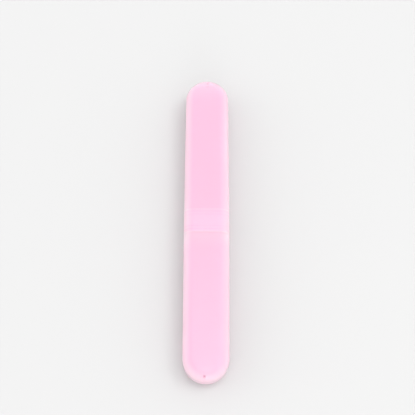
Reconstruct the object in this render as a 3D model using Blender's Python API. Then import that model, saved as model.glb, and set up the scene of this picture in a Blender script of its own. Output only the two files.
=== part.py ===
"""Travel toothbrush holder: a moulded two-piece case that pulls apart near its middle.

The case lies on its flat back at Z = 0, with its long axis on Y and the cap at +Y.
The origin is under the middle of the case. The base has a recessed neck with two pairs
of fine beads, and the cap's skirt slides over it until it meets the base's shoulder.
Both halves keep one inside wall line, so a toothbrush passes the joint without a step.

Each half is one closed shell: an outer skin and an inner skin, both open at the joint,
with the joint's own profile lofted between them as rings of the case's cross-section.
A place on that profile is its depth below the case's outside, and its Y.
"""

import math

import bmesh
import bpy
from mathutils import Matrix, Vector

MM = 0.001

# Outside of the closed case
CASE_LENGTH = 200.0 * MM
CASE_WIDTH = 28.8 * MM
CASE_THICKNESS = 20.5 * MM
EDGE_RADIUS = 6.5 * MM
END_DRAFT = 0.3 * MM

# Layers of the joint, from the outside in
SKIRT_WALL = 0.65 * MM
FIT_CLEARANCE = 0.25 * MM
BEAD_HEIGHT = 0.15 * MM
NECK_WALL = 0.6 * MM

# Lengths along the joint
CAP_LENGTH = 108.6 * MM
NECK_LENGTH = 15.3 * MM
SEAT_CLEARANCE = 0.3 * MM
PARALLEL_MARGIN = 3.0 * MM
LIP_ROUND = 0.25 * MM
NECK_TIP_ROUND = 0.3 * MM

# Beads round the neck
BEAD_WIDTH = 0.9 * MM
BEAD_PAIR_SPACING = 2.05 * MM
BEAD_FROM_SHOULDER = 2.3 * MM
BEAD_FROM_TIP = 1.4 * MM

# Air vents in the rounded rim of each closed end
VENT_RADIUS = 0.75 * MM
VENT_FROM_END = 2.4 * MM
BASE_VENT_SIDESTEP = -1.0 * MM
CAP_VENT_SIDESTEP = 0.0 * MM

# Fineness of the round shapes
END_STEPS = 40
EDGE_STEPS = 8
LIP_STEPS = 3
BEAD_STEPS = 6
VENT_STEPS = 24
PIN_OVERHANG = 2.0 * MM
WELD_DISTANCE = 0.01 * MM
SHARP_ANGLE = math.radians(30)

# Depths below the outside: the wall is as thick as the joint's layers together
NECK_DEPTH = SKIRT_WALL + FIT_CLEARANCE + BEAD_HEIGHT
WALL = NECK_DEPTH + NECK_WALL

# Places along the case
SHOULDER_Y = CASE_LENGTH / 2 - CAP_LENGTH
CAP_MOUTH_Y = SHOULDER_Y + SEAT_CLEARANCE
NECK_TIP_Y = SHOULDER_Y + NECK_LENGTH
BORE_END_Y = NECK_TIP_Y + SEAT_CLEARANCE
PARALLEL_LOW_Y = SHOULDER_Y - PARALLEL_MARGIN
PARALLEL_HIGH_Y = BORE_END_Y + PARALLEL_MARGIN

PLASTIC_COLOUR = (0.93, 0.62, 0.78, 1.0)
PLASTIC_ROUGHNESS = 0.38


def new_collection(name):
    collection = bpy.data.collections.new(name)
    bpy.context.scene.collection.children.link(collection)
    return collection


def plastic_material(name):
    """Pale pink translucent polypropylene."""
    material = bpy.data.materials.new(name)
    material.use_nodes = True
    shader = material.node_tree.nodes["Principled BSDF"]
    shader.inputs["Base Color"].default_value = PLASTIC_COLOUR
    shader.inputs["Roughness"].default_value = PLASTIC_ROUGHNESS
    shader.inputs["Metallic"].default_value = 0.0
    material.diffuse_color = PLASTIC_COLOUR
    return material


def plan_outline(depth):
    """The case seen from the front: parallel sides at the joint, drafted to a round end each way."""
    half_middle = CASE_WIDTH / 2 - depth
    end_radius = half_middle - END_DRAFT
    end_centre = CASE_LENGTH / 2 - CASE_WIDTH / 2 + END_DRAFT
    points = []
    for end, near_y, far_y in (
        (1, PARALLEL_HIGH_Y, PARALLEL_LOW_Y),
        (-1, PARALLEL_LOW_Y, PARALLEL_HIGH_Y),
    ):
        for step in range(END_STEPS + 1):
            angle = math.pi * step / END_STEPS
            x = end * end_radius * math.cos(angle)
            y = end * (end_centre + end_radius * math.sin(angle))
            points.append((x, y))
        points.append((-end * half_middle, near_y))
        points.append((-end * half_middle, far_y))
    return points


def section_outline(depth):
    """The case cut across at the joint: a rectangle with round corners, in X and Z."""
    radius = EDGE_RADIUS - depth
    corner_x = CASE_WIDTH / 2 - EDGE_RADIUS
    corner_z = CASE_THICKNESS / 2 - EDGE_RADIUS
    points = []
    for quarter, (side_x, side_z) in enumerate(((1, 1), (-1, 1), (-1, -1), (1, -1))):
        for step in range(EDGE_STEPS + 1):
            angle = math.pi / 2 * (quarter + step / EDGE_STEPS)
            x = side_x * corner_x + radius * math.cos(angle)
            z = CASE_THICKNESS / 2 + side_z * corner_z + radius * math.sin(angle)
            points.append((x, z))
    return points


def rounded_plate(depth):
    """The whole case as a plate with rounded rims, set in by depth on all sides."""
    edge_round = EDGE_RADIUS - depth
    curve = bpy.data.curves.new("plate", "CURVE")
    curve.dimensions = "2D"
    curve.fill_mode = "BOTH"
    curve.extrude = CASE_THICKNESS / 2 - EDGE_RADIUS
    curve.bevel_depth = edge_round
    curve.bevel_resolution = EDGE_STEPS - 1
    curve.offset = -edge_round
    outline = plan_outline(depth)
    spline = curve.splines.new("POLY")
    spline.points.add(len(outline) - 1)
    for point, (x, y) in zip(spline.points, outline):
        point.co = (x, y, 0, 1)
    spline.use_cyclic_u = True
    curve_object = bpy.data.objects.new("plate", curve)
    bpy.context.scene.collection.objects.link(curve_object)
    graph = bpy.context.evaluated_depsgraph_get()
    mesh = bpy.data.meshes.new_from_object(curve_object.evaluated_get(graph))
    bpy.data.objects.remove(curve_object)
    bpy.data.curves.remove(curve)
    mesh.transform(Matrix.Translation((0, 0, CASE_THICKNESS / 2)))
    return mesh


def faces_at_height(shape, z):
    return [face for face in shape.faces if abs(face.calc_center_median().z - z) < WELD_DISTANCE]


def open_skin(depth, plane_y, keep):
    """The plate's surface on one side of plane_y (+1 or -1), open at that plane."""
    skin_mesh = rounded_plate(depth)
    skin = bmesh.new()
    skin.from_mesh(skin_mesh)
    bmesh.ops.remove_doubles(skin, verts=skin.verts, dist=WELD_DISTANCE)
    bmesh.ops.recalc_face_normals(skin, faces=skin.faces)
    for flat_z in (depth, CASE_THICKNESS - depth):
        bmesh.ops.dissolve_faces(skin, faces=faces_at_height(skin, flat_z))
    bmesh.ops.bisect_plane(
        skin,
        geom=skin.verts[:] + skin.edges[:] + skin.faces[:],
        plane_co=(0, plane_y, 0),
        plane_no=(0, -keep, 0),
        clear_outer=True,
    )
    skin.to_mesh(skin_mesh)
    skin.free()
    return skin_mesh


def turn_about_middle(corner):
    """How far round the case's long axis a corner is, from +X by way of +Z."""
    return math.atan2(corner.co.z - CASE_THICKNESS / 2, corner.co.x) % math.tau


def add_skin(shell, depth, plane_y, keep):
    """Adds an open skin to the shell, and returns the corners of its rim in order."""
    skin_mesh = open_skin(depth, plane_y, keep)
    old_corners = set(shell.verts)
    shell.from_mesh(skin_mesh)
    bpy.data.meshes.remove(skin_mesh)
    rim = [corner for corner in shell.verts if corner not in old_corners and corner.is_boundary]
    return sorted(rim, key=turn_about_middle)


def add_ring(shell, depth, y):
    """Adds the corners of one ring of the cross-section, in the same order as a rim's."""
    return [shell.verts.new((x, y, z)) for x, z in section_outline(depth)]


def loft(shell, near, far):
    for index, corner in enumerate(near):
        shell.faces.new((near[index - 1], corner, far[index], far[index - 1]))


def shell_mesh(name, keep, profile):
    """One half of the case: outer skin, inner skin, and the joint's profile lofted between them."""
    (outer_depth, outer_y), (inner_depth, inner_y) = profile[0], profile[-1]
    shell = bmesh.new()
    rings = [add_skin(shell, outer_depth, outer_y, keep)]
    rings += [add_ring(shell, depth, y) for depth, y in profile[1:-1]]
    rings.append(add_skin(shell, inner_depth, inner_y, keep))
    for near, far in zip(rings, rings[1:]):
        loft(shell, near, far)
    bmesh.ops.recalc_face_normals(shell, faces=shell.faces)
    mesh = bpy.data.meshes.new(name)
    shell.to_mesh(mesh)
    shell.free()
    return mesh


def rounded_corner(depth, y, radius, keep):
    """Profile points round an outer corner, from the case's side to the face at y."""
    points = []
    for step in range(LIP_STEPS + 1):
        angle = math.pi / 2 * step / LIP_STEPS
        corner_depth = depth + radius * (1 - math.cos(angle))
        corner_y = y + keep * radius * (1 - math.sin(angle))
        points.append((corner_depth, corner_y))
    return points


def bead_profile(middle_y):
    """Profile points over one low round bead, along +Y."""
    points = []
    for step in range(BEAD_STEPS + 1):
        share = step / BEAD_STEPS
        bead_depth = NECK_DEPTH - BEAD_HEIGHT * math.sin(math.pi * share)
        bead_y = middle_y + BEAD_WIDTH * (share - 0.5)
        points.append((bead_depth, bead_y))
    return points


def base_profile():
    """Outer lip, shoulder, beaded neck, neck tip."""
    first_bead = SHOULDER_Y + BEAD_FROM_SHOULDER
    last_bead = NECK_TIP_Y - BEAD_FROM_TIP
    points = rounded_corner(0, SHOULDER_Y, LIP_ROUND, -1)
    points.append((NECK_DEPTH, SHOULDER_Y))
    points += bead_profile(first_bead)
    points += bead_profile(first_bead + BEAD_PAIR_SPACING)
    points += bead_profile(last_bead - BEAD_PAIR_SPACING)
    points += bead_profile(last_bead)
    points += rounded_corner(NECK_DEPTH, NECK_TIP_Y, NECK_TIP_ROUND, -1)
    points.append((WALL, NECK_TIP_Y))
    return points


def cap_profile():
    """Outer lip, mouth, bore over the neck, and the step where the bore ends."""
    points = rounded_corner(0, CAP_MOUTH_Y, LIP_ROUND, 1)
    points.append((SKIRT_WALL, CAP_MOUTH_Y))
    points.append((SKIRT_WALL, BORE_END_Y))
    points.append((WALL, BORE_END_Y))
    return points


def vent_pin(name, end, sidestep):
    """A pin square to the rounded rim of the closed end at end (+1 or -1)."""
    slope = math.acos(1 - min(VENT_FROM_END / EDGE_RADIUS, 1))
    out = Vector((0, end * math.cos(slope), math.sin(slope)))
    surface = Vector(
        (
            sidestep,
            end * (CASE_LENGTH / 2 - VENT_FROM_END),
            CASE_THICKNESS - EDGE_RADIUS + EDGE_RADIUS * math.sin(slope),
        )
    )
    place = Matrix.Translation(surface - out * WALL / 2)
    aim = out.to_track_quat("Z", "Y").to_matrix().to_4x4()
    half_step = Matrix.Rotation(math.pi / VENT_STEPS, 4, "Z")
    pin = bmesh.new()
    bmesh.ops.create_cone(
        pin,
        cap_ends=True,
        segments=VENT_STEPS,
        radius1=VENT_RADIUS,
        radius2=VENT_RADIUS,
        depth=WALL + 2 * PIN_OVERHANG,
        matrix=place @ aim @ half_step,
    )
    mesh = bpy.data.meshes.new(name)
    pin.to_mesh(mesh)
    pin.free()
    return mesh


def shade_round(mesh):
    mesh.shade_smooth()
    mesh.set_sharp_from_angle(angle=SHARP_ANGLE)


def add_cutter(mesh, collection):
    shade_round(mesh)
    cutter = bpy.data.objects.new(mesh.name, mesh)
    cutter.hide_render = True
    cutter.display_type = "WIRE"
    collection.objects.link(cutter)
    return cutter


def add_half(mesh, collection, material, origin, cutter):
    """A half of the case as a named piece, with its origin on the joint's line and its vent cut."""
    shade_round(mesh)
    mesh.materials.append(material)
    mesh.transform(Matrix.Translation(-origin))
    half = bpy.data.objects.new(mesh.name, mesh)
    half.location = origin
    collection.objects.link(half)
    cut = half.modifiers.new("vent", "BOOLEAN")
    cut.operation = "DIFFERENCE"
    cut.solver = "EXACT"
    cut.object = cutter
    weld = half.modifiers.new("weld", "WELD")
    weld.merge_threshold = WELD_DISTANCE


def main():
    for old in list(bpy.data.objects):
        bpy.data.objects.remove(old)
    parts = new_collection("toothbrush_holder")
    cutters = new_collection("cutters")
    plastic = plastic_material("pink_plastic")
    joint_origin = Vector((0, SHOULDER_Y, CASE_THICKNESS / 2))

    base_vent = add_cutter(vent_pin("base_vent", -1, BASE_VENT_SIDESTEP), cutters)
    base = shell_mesh("case_base", -1, base_profile())
    add_half(base, parts, plastic, joint_origin, base_vent)

    cap_vent = add_cutter(vent_pin("cap_vent", 1, CAP_VENT_SIDESTEP), cutters)
    cap = shell_mesh("case_cap", 1, cap_profile())
    add_half(cap, parts, plastic, joint_origin, cap_vent)


main()
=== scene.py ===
"""Looks of the travel toothbrush holder: a pale pink, translucent moulded case in two halves.

Both halves are rebuilt here as fine smooth shells in place of the plain solids, with the same
outside, walls and beaded neck. Their seam is all but shut, between sharper lips, the air vents
have dished mouths, and the cap has its gate mark. Lengths are in metres, in the frame's own
axes: +X across the case, +Y towards the cap's closed end, +Z out of its front.
"""

import math

import bmesh
import bpy
from mathutils import Matrix, Vector


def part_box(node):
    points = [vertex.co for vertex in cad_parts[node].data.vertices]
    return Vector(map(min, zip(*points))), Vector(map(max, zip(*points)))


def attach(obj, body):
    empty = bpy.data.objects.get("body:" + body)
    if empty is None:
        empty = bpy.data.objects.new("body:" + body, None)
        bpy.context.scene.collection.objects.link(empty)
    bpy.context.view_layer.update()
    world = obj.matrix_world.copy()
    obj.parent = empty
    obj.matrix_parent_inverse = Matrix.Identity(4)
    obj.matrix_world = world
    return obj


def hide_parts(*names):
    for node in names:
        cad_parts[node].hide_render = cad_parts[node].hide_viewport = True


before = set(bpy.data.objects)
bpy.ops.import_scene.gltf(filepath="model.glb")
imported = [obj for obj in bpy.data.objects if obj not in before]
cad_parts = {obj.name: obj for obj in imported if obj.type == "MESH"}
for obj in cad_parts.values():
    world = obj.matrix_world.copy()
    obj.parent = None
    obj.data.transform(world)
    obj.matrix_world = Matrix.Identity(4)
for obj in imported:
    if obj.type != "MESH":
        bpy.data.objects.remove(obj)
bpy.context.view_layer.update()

MM = 0.001

# Sizes read from the frame
BASE_LOW, BASE_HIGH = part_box("case_base")
CAP_LOW, CAP_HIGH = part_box("case_cap")
CASE_LENGTH = CAP_HIGH.y - BASE_LOW.y
CASE_WIDTH = CAP_HIGH.x - CAP_LOW.x
CASE_THICKNESS = CAP_HIGH.z - CAP_LOW.z
CAP_MOUTH_Y = CAP_LOW.y
NECK_TIP_Y = BASE_HIGH.y

# Sizes of the moulding, as in the solids
EDGE_RADIUS = 6.5 * MM
END_DRAFT = 0.3 * MM
SKIRT_WALL = 0.65 * MM
FIT_CLEARANCE = 0.25 * MM
BEAD_HEIGHT = 0.15 * MM
NECK_WALL = 0.6 * MM
SEAT_CLEARANCE = 0.3 * MM
PARALLEL_MARGIN = 3.0 * MM
NECK_TIP_ROUND = 0.3 * MM
BEAD_WIDTH = 0.9 * MM
BEAD_PAIR_SPACING = 2.05 * MM
BEAD_FROM_SHOULDER = 2.3 * MM
BEAD_FROM_TIP = 1.4 * MM

# Depths below the outside, and places along the case
NECK_DEPTH = SKIRT_WALL + FIT_CLEARANCE + BEAD_HEIGHT
WALL = NECK_DEPTH + NECK_WALL
SHOULDER_Y = CAP_MOUTH_Y - SEAT_CLEARANCE
BORE_END_Y = NECK_TIP_Y + SEAT_CLEARANCE

# The seam is all but shut, because the real halves touch, and its lips are sharper than the solids'
SEAM_GAP = 0.03 * MM
SEAM_Y = CAP_MOUTH_Y - SEAM_GAP
LIP_ROUND = 0.1 * MM

# Air vents, where the solids have them: a dished mouth with a bend in its wall, then a throat
VENT_RADIUS = 0.75 * MM
VENT_FROM_END = 2.4 * MM
VENT_FLARE = 0.75 * MM
VENT_BEND = VENT_FLARE * 0.35
VENT_THROAT_RADIUS = 0.35 * MM
VENT_THROAT_DEPTH = 0.8 * MM
VENT_REACH = 2 * WALL
BASE_VENT_SIDESTEP = -1.0 * MM
CAP_VENT_SIDESTEP = 0.0 * MM

# Gate mark: a dimple whose floor rises a little outwards, round a nub with a low crown
GATE_FROM_END = 6.4 * MM
GATE_RADIUS = 1.1 * MM
GATE_DEPTH = 0.3 * MM
GATE_FLOOR_RADIUS = 0.825 * MM
GATE_FLOOR_RIM_DEPTH = 0.24 * MM
GATE_NUB_RADIUS = 0.4 * MM
GATE_NUB_TOP_RADIUS = 0.24 * MM
GATE_NUB_TOP_DEPTH = 0.12 * MM
GATE_CROWN_DEPTH = 0.105 * MM
GATE_HEAD_RADIUS = 1.32 * MM

# Surfaces of a half, in the order of its material slots
OUTSIDE = 0
INSIDE = 1
JOINT = 2

# Fineness of the meshes
END_STEPS = 96
SIDE_STEPS = 22
EDGE_STEPS = 16
WALL_STEPS = 4
LIP_STEPS = 5
BEAD_STEPS = 10
HOLE_STEPS = 48
FLAT_INSET = 0.35 * MM
WELD_DISTANCE = 0.002 * MM
SHARP_ANGLE = math.radians(35)


def plan_path(depth, joint_y, keep):
    """One half's plan outline from +X at the joint round its closed end (+1 or -1) to -X."""
    half_middle = CASE_WIDTH / 2 - depth
    end_radius = half_middle - END_DRAFT
    end_centre = CASE_LENGTH / 2 - CASE_WIDTH / 2 + END_DRAFT
    parallel_end = BORE_END_Y + PARALLEL_MARGIN if keep > 0 else SHOULDER_Y - PARALLEL_MARGIN
    side = [(half_middle, joint_y)]
    for step in range(SIDE_STEPS):
        share = step / SIDE_STEPS
        x = half_middle + (end_radius - half_middle) * share
        y = parallel_end + (keep * end_centre - parallel_end) * share
        side.append((x, y))
    path = [(Vector((x, y, 0)), Vector((1, 0, 0))) for x, y in side]
    for step in range(END_STEPS + 1):
        angle = math.pi * step / END_STEPS
        outwards = Vector((math.cos(angle), keep * math.sin(angle), 0))
        path.append((Vector((0, keep * end_centre, 0)) + end_radius * outwards, outwards))
    path += [(Vector((-x, y, 0)), Vector((-1, 0, 0))) for x, y in reversed(side)]
    return path


def rim_column(depth, place, outwards):
    """Points up the rim at one place of the plan, starting on the back flat and ending on the front."""
    radius = EDGE_RADIUS - depth
    steps = [(radius + FLAT_INSET, depth)]
    for step in range(EDGE_STEPS + 1):
        angle = math.pi / 2 * step / EDGE_STEPS
        steps.append((radius * (1 - math.sin(angle)), EDGE_RADIUS - radius * math.cos(angle)))
    wall = CASE_THICKNESS - 2 * EDGE_RADIUS
    for step in range(1, WALL_STEPS):
        steps.append((0, EDGE_RADIUS + wall * step / WALL_STEPS))
    for inset, z in reversed(steps[:EDGE_STEPS + 2]):
        steps.append((inset, CASE_THICKNESS - z))
    return [place - outwards * inset + Vector((0, 0, z)) for inset, z in steps]


def section_ring(depth, y):
    """The case cut across at the joint, as a closed ring of points."""
    half = CASE_WIDTH / 2 - depth
    right = rim_column(depth, Vector((half, y, 0)), Vector((1, 0, 0)))
    left = rim_column(depth, Vector((-half, y, 0)), Vector((-1, 0, 0)))
    return right + left[::-1]


def add_skin(shell, depth, joint_y, keep, surface):
    """Adds one half's skin, open at the joint, and returns the corners of its open ring."""
    columns = []
    for place, outwards in plan_path(depth, joint_y, keep):
        columns.append([shell.verts.new(point) for point in rim_column(depth, place, outwards)])
    for column, following in zip(columns, columns[1:]):
        for row in range(len(column) - 1):
            corners = (column[row], column[row + 1], following[row + 1], following[row])
            shell.faces.new(corners).material_index = surface
    middle = len(columns) // 2
    for row in (0, -1):
        for index in range(middle):
            near, far = columns[index], columns[index + 1]
            near_mirror, far_mirror = columns[-1 - index], columns[-2 - index]
            corners = [near[row], far[row], far_mirror[row], near_mirror[row]]
            if far is far_mirror:
                corners.pop(2)
            shell.faces.new(corners).material_index = surface
    return columns[0] + columns[-1][::-1]


def loft(shell, near, far, surface):
    for index, corner in enumerate(near):
        corners = (near[index - 1], corner, far[index], far[index - 1])
        shell.faces.new(corners).material_index = surface


def shell_mesh(name, keep, profile, materials):
    """One half of the case: outer skin, inner skin, and the joint's profile lofted between them.

    A profile point is a depth below the outside, a Y, and the surface of the band that ends there.
    """
    outer_depth, outer_y, _ = profile[0]
    inner_depth, inner_y, _ = profile[-1]
    shell = bmesh.new()
    rings = [add_skin(shell, outer_depth, outer_y, keep, OUTSIDE)]
    for depth, y, _ in profile[1:-1]:
        rings.append([shell.verts.new(point) for point in section_ring(depth, y)])
    rings.append(add_skin(shell, inner_depth, inner_y, keep, INSIDE))
    for near, far, (_, _, surface) in zip(rings, rings[1:], profile[1:]):
        loft(shell, near, far, surface)
    bmesh.ops.recalc_face_normals(shell, faces=shell.faces)
    mesh = bpy.data.meshes.new(name)
    for material in materials:
        mesh.materials.append(material)
    shell.to_mesh(mesh)
    shell.free()
    return mesh


def rounded_corner(depth, y, radius, keep, surface):
    """Profile points round an outer corner, from the case's side to the face at y."""
    points = []
    for step in range(LIP_STEPS + 1):
        angle = math.pi / 2 * step / LIP_STEPS
        corner_depth = depth + radius * (1 - math.cos(angle))
        corner_y = y + keep * radius * (1 - math.sin(angle))
        points.append((corner_depth, corner_y, surface))
    return points


def bead_profile(middle_y):
    """Profile points over one low round bead, along +Y."""
    points = []
    for step in range(BEAD_STEPS + 1):
        share = step / BEAD_STEPS
        bead_depth = NECK_DEPTH - BEAD_HEIGHT * math.sin(math.pi * share)
        bead_y = middle_y + BEAD_WIDTH * (share - 0.5)
        points.append((bead_depth, bead_y, JOINT))
    return points


def bead_places():
    """The Y of each bead's middle: a pair near the shoulder and a pair near the neck's tip."""
    first = SHOULDER_Y + BEAD_FROM_SHOULDER
    last = NECK_TIP_Y - BEAD_FROM_TIP
    return (first, first + BEAD_PAIR_SPACING, last - BEAD_PAIR_SPACING, last)


def base_profile():
    """Outer lip, shoulder, beaded neck, neck tip."""
    points = rounded_corner(0, SEAM_Y, LIP_ROUND, -1, OUTSIDE)
    points.append((NECK_DEPTH, SEAM_Y, OUTSIDE))
    for middle_y in bead_places():
        points += bead_profile(middle_y)
    points += rounded_corner(NECK_DEPTH, NECK_TIP_Y, NECK_TIP_ROUND, -1, JOINT)
    points.append((WALL, NECK_TIP_Y, JOINT))
    return points


def cap_profile():
    """Outer lip, mouth, bore over the neck, and the step where the bore ends."""
    points = rounded_corner(0, CAP_MOUTH_Y, LIP_ROUND, 1, OUTSIDE)
    points.append((SKIRT_WALL, CAP_MOUTH_Y, OUTSIDE))
    points.append((SKIRT_WALL, BORE_END_Y, JOINT))
    points.append((WALL, BORE_END_Y, JOINT))
    return points


def turned_mesh(name, profile, matrix, inside_radius=0.0):
    """A closed solid turned about its own Z from (radius, height) points that start and end on it.

    What it cuts gets the inside's finish nearer to Z than inside_radius, and the outside's elsewhere.
    """
    solid = bmesh.new()
    corners = [solid.verts.new((radius, 0, height)) for radius, height in profile]
    edges = [solid.edges.new(pair) for pair in zip(corners, corners[1:])]
    bmesh.ops.spin(
        solid,
        geom=corners + edges,
        axis=(0, 0, 1),
        cent=(0, 0, 0),
        angle=math.tau,
        steps=HOLE_STEPS,
        use_merge=True,
    )
    bmesh.ops.remove_doubles(solid, verts=solid.verts, dist=WELD_DISTANCE)
    bmesh.ops.recalc_face_normals(solid, faces=solid.faces)
    for face in solid.faces:
        is_inside = face.calc_center_median().xy.length < inside_radius
        face.material_index = INSIDE if is_inside else OUTSIDE
    bmesh.ops.transform(solid, verts=solid.verts, matrix=matrix)
    mesh = bpy.data.meshes.new(name)
    solid.to_mesh(mesh)
    solid.free()
    return mesh


def rim_place(end, from_end, sidestep):
    """A frame on the front rim at from_end from the closed end (+1 or -1), its Z square to the skin."""
    slope = math.acos(1 - min(from_end / EDGE_RADIUS, 1))
    out = Vector((0, end * math.cos(slope), math.sin(slope)))
    surface = Vector(
        (
            sidestep,
            end * (CASE_LENGTH / 2 - from_end),
            CASE_THICKNESS - EDGE_RADIUS + EDGE_RADIUS * math.sin(slope),
        )
    )
    return Matrix.Translation(surface) @ out.to_track_quat("Z", "Y").to_matrix().to_4x4()


def vent_cutter(name, end, sidestep):
    """A pin through the wall whose head leaves a dished mouth with a softened edge."""
    profile = [
        (0, -VENT_REACH),
        (VENT_THROAT_RADIUS, -VENT_REACH),
        (VENT_THROAT_RADIUS, -VENT_THROAT_DEPTH),
        (VENT_RADIUS, -VENT_FLARE),
        (VENT_RADIUS + VENT_BEND, -VENT_BEND),
        (VENT_RADIUS + VENT_FLARE, 0),
        (VENT_RADIUS + 2 * VENT_FLARE, VENT_FLARE),
        (0, VENT_FLARE),
    ]
    return turned_mesh(name, profile, rim_place(end, VENT_FROM_END, sidestep), VENT_RADIUS)


def gate_cutter(name, end):
    """A shallow round dimple with a low nub in its middle, left where the plastic was fed in."""
    profile = [
        (0, -GATE_CROWN_DEPTH),
        (GATE_NUB_TOP_RADIUS, -GATE_NUB_TOP_DEPTH),
        (GATE_NUB_RADIUS, -GATE_DEPTH),
        (GATE_FLOOR_RADIUS, -GATE_FLOOR_RIM_DEPTH),
        (GATE_RADIUS, 0),
        (GATE_HEAD_RADIUS, GATE_DEPTH),
        (0, GATE_DEPTH),
    ]
    return turned_mesh(name, profile, rim_place(end, GATE_FROM_END, 0))


def weld(mesh):
    """Closes up the thinnest slivers that a cut leaves."""
    shell = bmesh.new()
    shell.from_mesh(mesh)
    bmesh.ops.remove_doubles(shell, verts=shell.verts, dist=WELD_DISTANCE)
    shell.to_mesh(mesh)
    shell.free()


def cut_mesh(mesh, cutters):
    """The mesh with every cutter taken out of it."""
    host = bpy.data.objects.new(mesh.name + "_uncut", mesh)
    bpy.context.scene.collection.objects.link(host)
    helpers = []
    for cutter in cutters:
        helper = bpy.data.objects.new(cutter.name, cutter)
        bpy.context.scene.collection.objects.link(helper)
        helpers.append(helper)
        modifier = host.modifiers.new(cutter.name, "BOOLEAN")
        modifier.operation = "DIFFERENCE"
        modifier.solver = "EXACT"
        modifier.object = helper
    graph = bpy.context.evaluated_depsgraph_get()
    result = bpy.data.meshes.new_from_object(host.evaluated_get(graph))
    for thing in [host] + helpers:
        bpy.data.objects.remove(thing)
    for used in [mesh] + cutters:
        bpy.data.meshes.remove(used)
    weld(result)
    return result


def add_half(name, node, body, mesh):
    """A finished half: shown in place of its solid, moving with its body."""
    mesh.shade_smooth()
    mesh.set_sharp_from_angle(angle=SHARP_ANGLE)
    half = bpy.data.objects.new(name, mesh)
    bpy.context.scene.collection.objects.link(half)
    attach(half, body)
    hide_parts(node)


# Colours of the plastic, in linear light
FLAT_COLOUR = (0.98, 0.60, 0.775)
# painted light: the paler colour that the rims, sides, ends, lip and neck's tip are painted towards
PAINTED_LIGHT_COLOUR = (0.985, 0.76, 0.86)
INSIDE_COLOUR = (0.98, 0.60, 0.79)
JOINT_COLOUR = (0.985, 0.76, 0.84)
# painted shade: the deeper colour of the lines at the beads, on the neck and the bore
BEAD_SHADE_COLOUR = (0.94, 0.50, 0.68)

# How much of the light goes into the plastic, from 0 to 1, and how far it bends there
OUTSIDE_CLARITY = 0.5
INSIDE_CLARITY = 0.65
JOINT_CLARITY = 0.4
PLASTIC_IOR = 1.49

# Painted light on the outside: how far the rims, side walls, ends and the base below the seam are
# painted paler, from 0 to 1, and over what distance
RIM_START = 6.0 * MM
RIM_FULL = 1.0 * MM
# painted light: the side walls are painted paler still
SIDE_PALENESS = 0.35
SIDE_START = 1.6 * MM
END_PALENESS = 0.6
BASE_END_LENGTH = 10.0 * MM
CAP_END_LENGTH = 18.0 * MM
# painted light: a paler band on the base just below the seam
SHOULDER_PALENESS = 0.4
SHOULDER_LENGTH = 12.0 * MM
# painted highlight: a paler line along the cap's lip, just above the seam
LIP_PALENESS = 0.75
LIP_LENGTH = 0.9 * MM
# painted light: a paler line on the skirt where the neck's tip shows through it
TIP_PALENESS = 0.4
TIP_LINE_WIDTH = 0.9 * MM

# Painted shade lines at the beads, seen through the skirt: how much a bead darkens it, and how unevenly
# along the lines
BEAD_SHADE_DEPTH = 0.32
LINE_CORE = 0.2
BEAD_SHADE_SIZE = 7.0 * MM
BEAD_SHADE_DETAIL = 2.0
BEAD_SHADE_NOISE = (0.35, 0.65)
BEAD_SHADE_LOWEST = 0.3

# Mottled and streaked colour: a pattern's size, its detail, and the noise it runs from and to
CLOUD_SIZE = 16.0 * MM
CLOUD_DETAIL = 3.0
STREAK_WIDTH = 1.6 * MM
STREAK_LENGTH = 45.0 * MM
STREAK_DETAIL = 1.0
STREAK_WEIGHT = 0.4
MOTTLING_NOISE = (0.4, 1.0)
MOTTLING_DEPTH = 0.16

# Roughness of the satin surface, and what smudges, grain and streaks do to it
SATIN_ROUGHNESS = 0.36
SMUDGE_SIZE = 11.0 * MM
SMUDGE_DETAIL = 4.0
SMUDGE_NOISE = (0.35, 0.7)
SMUDGE_POLISH = 0.09
GRAIN_ROUGHENING = 0.06
STREAK_ROUGHENING = 0.08

# Relief too fine for the meshes
GRAIN_SIZE = 0.28 * MM
GRAIN_DETAIL = 2.0
GRAIN_HEIGHT = 0.012 * MM
RIPPLE_SIZE = 13.0 * MM
RIPPLE_DETAIL = 1.0
RIPPLE_HEIGHT = 0.005 * MM


def connect(tree, value, socket):
    """Feeds a socket from another socket, or sets it to a plain value."""
    if isinstance(value, bpy.types.NodeSocket):
        tree.links.new(value, socket)
    else:
        socket.default_value = value


def calculate(tree, operation, *values):
    """A Math node on sockets and numbers."""
    node = tree.nodes.new("ShaderNodeMath")
    node.operation = operation
    for value, socket in zip(values, node.inputs):
        connect(tree, value, socket)
    return node.outputs["Value"]


def span(tree, value, low, high, new_low, new_high):
    """Maps a value's range low..high to new_low..new_high, smoothly and held at both ends."""
    node = tree.nodes.new("ShaderNodeMapRange")
    node.interpolation_type = "SMOOTHSTEP"
    for part, socket in zip((value, low, high, new_low, new_high), node.inputs):
        connect(tree, part, socket)
    return node.outputs["Result"]


def blend_colours(tree, share, first, second):
    node = tree.nodes.new("ShaderNodeMix")
    node.data_type = "RGBA"
    node.clamp_factor = False
    sockets = [socket for socket in node.inputs if socket.enabled]
    connect(tree, share, sockets[0])
    for colour, socket in zip((first, second), sockets[1:]):
        connect(tree, colour if isinstance(colour, bpy.types.NodeSocket) else (*colour, 1), socket)
    return next(socket for socket in node.outputs if socket.enabled)


def place_on_case(tree):
    """The shaded point's place in the piece's own frame, as a vector and as X, Y and Z."""
    vector = tree.nodes.new("ShaderNodeTexCoord").outputs["Object"]
    split = tree.nodes.new("ShaderNodeSeparateXYZ")
    tree.links.new(vector, split.inputs["Vector"])
    return vector, split.outputs


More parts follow.
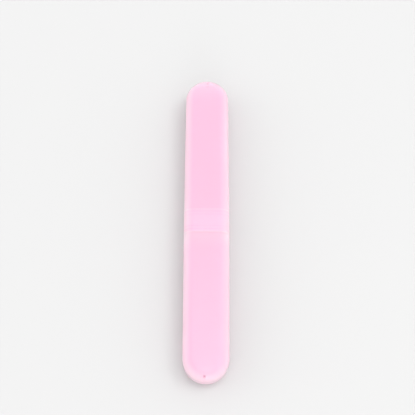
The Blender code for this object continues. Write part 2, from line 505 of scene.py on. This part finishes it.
def noise(tree, vector, size, detail, stretch=(1, 1, 1)):
    """Noise of about 0 to 1 whose features are size across, longer along an axis by its stretch."""
    mapping = tree.nodes.new("ShaderNodeMapping")
    mapping.inputs["Scale"].default_value = [1 / (size * factor) for factor in stretch]
    tree.links.new(vector, mapping.inputs["Vector"])
    texture = tree.nodes.new("ShaderNodeTexNoise")
    texture.inputs["Scale"].default_value = 1.0
    texture.inputs["Detail"].default_value = detail
    tree.links.new(mapping.outputs["Vector"], texture.inputs["Vector"])
    return texture.outputs["Fac"]


def edge_share(tree, place, start, full):
    """0 further than start in from the case's outline as seen from the front, 1 nearer than full."""
    across = calculate(tree, "ABSOLUTE", place["X"])
    end_centre = CASE_LENGTH / 2 - CASE_WIDTH / 2
    along = calculate(tree, "SUBTRACT", calculate(tree, "ABSOLUTE", place["Y"]), end_centre)
    along = calculate(tree, "MAXIMUM", along, 0.0)
    squares = calculate(tree, "MULTIPLY", across, across)
    squares = calculate(tree, "MULTIPLY_ADD", along, along, squares)
    from_middle = calculate(tree, "SQRT", squares)
    edge = CASE_WIDTH / 2
    return span(tree, from_middle, edge - start, edge - full, 0.0, 1.0)


def add_bump(tree, height, distance, normal=None):
    bump = tree.nodes.new("ShaderNodeBump")
    bump.inputs["Distance"].default_value = distance
    tree.links.new(height, bump.inputs["Height"])
    if normal:
        tree.links.new(normal, bump.inputs["Normal"])
    return bump.outputs["Normal"]


def frosted_plastic(name, clarity, colour_nodes):
    """Frosted polypropylene; colour_nodes makes the surface's colour, painted light and shade included,
    from its place on the case.
    """
    material = bpy.data.materials.new(name)
    material.use_nodes = True
    tree = material.node_tree
    shader = tree.nodes["Principled BSDF"]
    shader.inputs["IOR"].default_value = PLASTIC_IOR
    shader.inputs["Transmission Weight"].default_value = clarity
    vector, place = place_on_case(tree)

    along_case = (1, STREAK_LENGTH / STREAK_WIDTH, 1)
    streaks = noise(tree, vector, STREAK_WIDTH, STREAK_DETAIL, along_case)
    clouds = noise(tree, vector, CLOUD_SIZE, CLOUD_DETAIL)
    mottling = calculate(tree, "ADD", calculate(tree, "MULTIPLY", streaks, STREAK_WEIGHT), clouds)
    depth = span(tree, mottling, *MOTTLING_NOISE, 0.0, MOTTLING_DEPTH)
    colour = blend_colours(tree, depth, colour_nodes(tree, vector, place), INSIDE_COLOUR)
    tree.links.new(colour, shader.inputs["Base Color"])

    grain = noise(tree, vector, GRAIN_SIZE, GRAIN_DETAIL)
    smudges = noise(tree, vector, SMUDGE_SIZE, SMUDGE_DETAIL)
    smoothest = SATIN_ROUGHNESS - SMUDGE_POLISH
    roughness = span(tree, smudges, *SMUDGE_NOISE, smoothest, SATIN_ROUGHNESS)
    roughness = calculate(tree, "MULTIPLY_ADD", grain, GRAIN_ROUGHENING, roughness)
    roughness = calculate(tree, "MULTIPLY_ADD", streaks, STREAK_ROUGHENING, roughness)
    tree.links.new(roughness, shader.inputs["Roughness"])

    ripples = noise(tree, vector, RIPPLE_SIZE, RIPPLE_DETAIL)
    normal = add_bump(tree, ripples, RIPPLE_HEIGHT)
    normal = add_bump(tree, grain, GRAIN_HEIGHT, normal)
    tree.links.new(normal, shader.inputs["Normal"])
    return material


def line_at(tree, y, middle_y, width):
    """A line across the case at middle_y: 1 within LINE_CORE of its width from there, 0 at its sides."""
    away = calculate(tree, "ABSOLUTE", calculate(tree, "SUBTRACT", y, middle_y))
    return span(tree, away, width * LINE_CORE, width / 2, 1.0, 0.0)


def painted_bead_shade(tree, vector, place):
    """Painted shade lines at the beads, darker in some places than in others."""
    lines = 0.0
    for middle_y in bead_places():
        lines = calculate(tree, "ADD", lines, line_at(tree, place["Y"], middle_y, BEAD_WIDTH))
    unevenness = noise(tree, vector, BEAD_SHADE_SIZE, BEAD_SHADE_DETAIL)
    shade_strength = span(tree, unevenness, *BEAD_SHADE_NOISE, BEAD_SHADE_LOWEST, 1.0)
    return calculate(tree, "MULTIPLY", lines, shade_strength)


def outside_colour(tree, vector, place):
    """Painted light where the light gets in from the side: paler rims, side walls and ends, a paler band
    on the base below the seam, a painted highlight along the cap's lip and a paler line where the neck's
    tip shows through the skirt, with painted shade lines at the beads; deeper on the long flats.
    """
    y = place["Y"]
    end_y = CASE_LENGTH / 2
    base_end = span(tree, y, -end_y, BASE_END_LENGTH - end_y, END_PALENESS, 0.0)
    cap_end = span(tree, y, end_y - CAP_END_LENGTH, end_y, 0.0, END_PALENESS)
    rim = edge_share(tree, place, RIM_START, RIM_FULL)
    side = calculate(tree, "MULTIPLY", edge_share(tree, place, SIDE_START, 0), SIDE_PALENESS)
    shoulder = span(tree, y, SEAM_Y - SHOULDER_LENGTH, SEAM_Y, 0.0, SHOULDER_PALENESS)
    shoulder = calculate(tree, "MULTIPLY", shoulder, calculate(tree, "LESS_THAN", y, SEAM_Y))
    lip = span(tree, y, SEAM_Y, SEAM_Y + LIP_LENGTH, LIP_PALENESS, 0.0)
    tip = calculate(tree, "MULTIPLY", line_at(tree, y, NECK_TIP_Y, TIP_LINE_WIDTH), TIP_PALENESS)
    lines = calculate(tree, "MULTIPLY", painted_bead_shade(tree, vector, place), -BEAD_SHADE_DEPTH)
    skirt = calculate(tree, "ADD", calculate(tree, "ADD", lip, tip), lines)
    skirt = calculate(tree, "MULTIPLY", skirt, calculate(tree, "GREATER_THAN", y, SEAM_Y))
    pale = calculate(tree, "MAXIMUM", rim, base_end)
    pale = calculate(tree, "MAXIMUM", pale, cap_end)
    for extra in (side, skirt, shoulder):
        pale = calculate(tree, "ADD", pale, extra)
    return blend_colours(tree, pale, FLAT_COLOUR, PAINTED_LIGHT_COLOUR)


# The inside, deeper pink, painted paler towards its rims as painted light, like the outside
def inside_colour(tree, vector, place):
    rim = edge_share(tree, place, RIM_START, RIM_FULL)
    return blend_colours(tree, rim, INSIDE_COLOUR, FLAT_COLOUR)


def joint_colour(tree, vector, place):
    """Pale, with a painted shade line at each bead."""
    return blend_colours(tree, painted_bead_shade(tree, vector, place), JOINT_COLOUR, BEAD_SHADE_COLOUR)


def plastic_surfaces():
    """The three finishes of a half, in the order of its surfaces."""
    return (
        frosted_plastic("frosted_outside", OUTSIDE_CLARITY, outside_colour),
        frosted_plastic("frosted_inside", INSIDE_CLARITY, inside_colour),
        frosted_plastic("frosted_joint", JOINT_CLARITY, joint_colour),
    )


# Studio: a tent that is brightest near the horizon, and four soft distant lamps
FLOOR_GREY = 0.52
FLOOR_ROUGHNESS = 0.6
FLOOR_WIDTH = 40.0
FLOOR_DROP = 0.05 * MM
HORIZON_LIGHT = 1.9
ZENITH_LIGHT = 1.0
KEY_FROM = (0.25, 0.06, 0.5)
KEY_SPREAD = math.radians(30)
KEY_STRENGTH = 0.8
TOP_FROM = (0.05, 0.10, 1.0)
TOP_SPREAD = math.radians(7)
TOP_STRENGTH = 0.38
FRONT_FROM = (0.1, -1.0, 0.3)
FRONT_SPREAD = math.radians(30)
FRONT_STRENGTH = 0.45
FILL_FROM = (-1.0, 0.1, 0.5)
FILL_SPREAD = math.radians(40)
FILL_STRENGTH = 0.25

# How often a ray of light may bounce, so that it gets through every wall of the case
CLEAR_BOUNCES = 48
DIFFUSE_BOUNCES = 12


def floor_material():
    material = bpy.data.materials.new("floor")
    material.use_nodes = True
    shader = material.node_tree.nodes["Principled BSDF"]
    shader.inputs["Base Color"].default_value = (FLOOR_GREY, FLOOR_GREY, FLOOR_GREY, 1)
    shader.inputs["Roughness"].default_value = FLOOR_ROUGHNESS
    return material


def add_floor():
    bpy.ops.mesh.primitive_plane_add(size=FLOOR_WIDTH, location=(0, 0, -FLOOR_DROP))
    floor = bpy.context.object
    floor.name = "floor"
    floor.data.materials.append(floor_material())


# The camera, matched to the photographed outline
CAMERA_TILT = math.radians(20.73)
CAMERA_ROLL = math.radians(0.25)
CAMERA_TARGET = Vector((0.5186, 11.7906, 9.5)) * MM
CAMERA_DISTANCE = 519.0 * MM
FOCAL_PIXELS = 807.4
FRAME_PIXELS = 415
SENSOR_WIDTH = 36.0
NEAREST_VIEW = 10 * MM


def add_camera():
    camera_data = bpy.data.cameras.new("camera")
    camera_data.sensor_width = SENSOR_WIDTH
    camera_data.clip_start = NEAREST_VIEW
    camera_data.lens = SENSOR_WIDTH * FOCAL_PIXELS / FRAME_PIXELS
    camera = bpy.data.objects.new("camera", camera_data)
    back = Vector((0, -math.sin(CAMERA_TILT), math.cos(CAMERA_TILT)))
    turn = Matrix.Rotation(CAMERA_TILT, 4, "X") @ Matrix.Rotation(CAMERA_ROLL, 4, "Z")
    camera.matrix_world = Matrix.Translation(CAMERA_TARGET + back * CAMERA_DISTANCE) @ turn
    bpy.context.scene.collection.objects.link(camera)
    bpy.context.scene.camera = camera


def add_lamp(name, place, spread, strength):
    """A distant lamp that shines from place towards the case; its spread is the angle it fills."""
    lamp_data = bpy.data.lights.new(name, "SUN")
    lamp_data.angle = spread
    lamp_data.energy = strength
    lamp = bpy.data.objects.new(name, lamp_data)
    lamp.location = place
    lamp.rotation_euler = (-Vector(place)).to_track_quat("-Z", "Y").to_euler()
    bpy.context.scene.collection.objects.link(lamp)


def add_tent():
    """White light all round, brighter towards the horizon than overhead."""
    world = bpy.data.worlds.new("tent")
    world.use_nodes = True
    tree = world.node_tree
    background = tree.nodes["Background"]
    background.inputs["Color"].default_value = (1, 1, 1, 1)
    direction = tree.nodes.new("ShaderNodeTexCoord").outputs["Generated"]
    split = tree.nodes.new("ShaderNodeSeparateXYZ")
    tree.links.new(direction, split.inputs["Vector"])
    height = split.outputs["Z"]
    strength = span(tree, height, 0.0, 1.0, HORIZON_LIGHT, ZENITH_LIGHT)
    tree.links.new(strength, background.inputs["Strength"])
    bpy.context.scene.world = world


def add_studio():
    add_tent()
    add_lamp("key", KEY_FROM, KEY_SPREAD, KEY_STRENGTH)
    add_lamp("top", TOP_FROM, TOP_SPREAD, TOP_STRENGTH)
    add_lamp("front", FRONT_FROM, FRONT_SPREAD, FRONT_STRENGTH)
    add_lamp("fill", FILL_FROM, FILL_SPREAD, FILL_STRENGTH)
    bpy.context.scene.view_settings.view_transform = "Standard"
    bpy.context.scene.cycles.max_bounces = CLEAR_BOUNCES
    bpy.context.scene.cycles.transmission_bounces = CLEAR_BOUNCES
    bpy.context.scene.cycles.diffuse_bounces = DIFFUSE_BOUNCES


def main():
    surfaces = plastic_surfaces()
    base_mesh = shell_mesh("case_base_uncut", -1, base_profile(), surfaces)
    base_cuts = [vent_cutter("base_vent_cut", -1, BASE_VENT_SIDESTEP)]
    add_half("case_base_shell", "case_base", "base", cut_mesh(base_mesh, base_cuts))
    cap_mesh = shell_mesh("case_cap_uncut", 1, cap_profile(), surfaces)
    cap_cuts = [vent_cutter("cap_vent_cut", 1, CAP_VENT_SIDESTEP), gate_cutter("cap_gate_cut", 1)]
    add_half("case_cap_shell", "case_cap", "cap", cut_mesh(cap_mesh, cap_cuts))
    add_floor()
    add_camera()
    add_studio()


main()
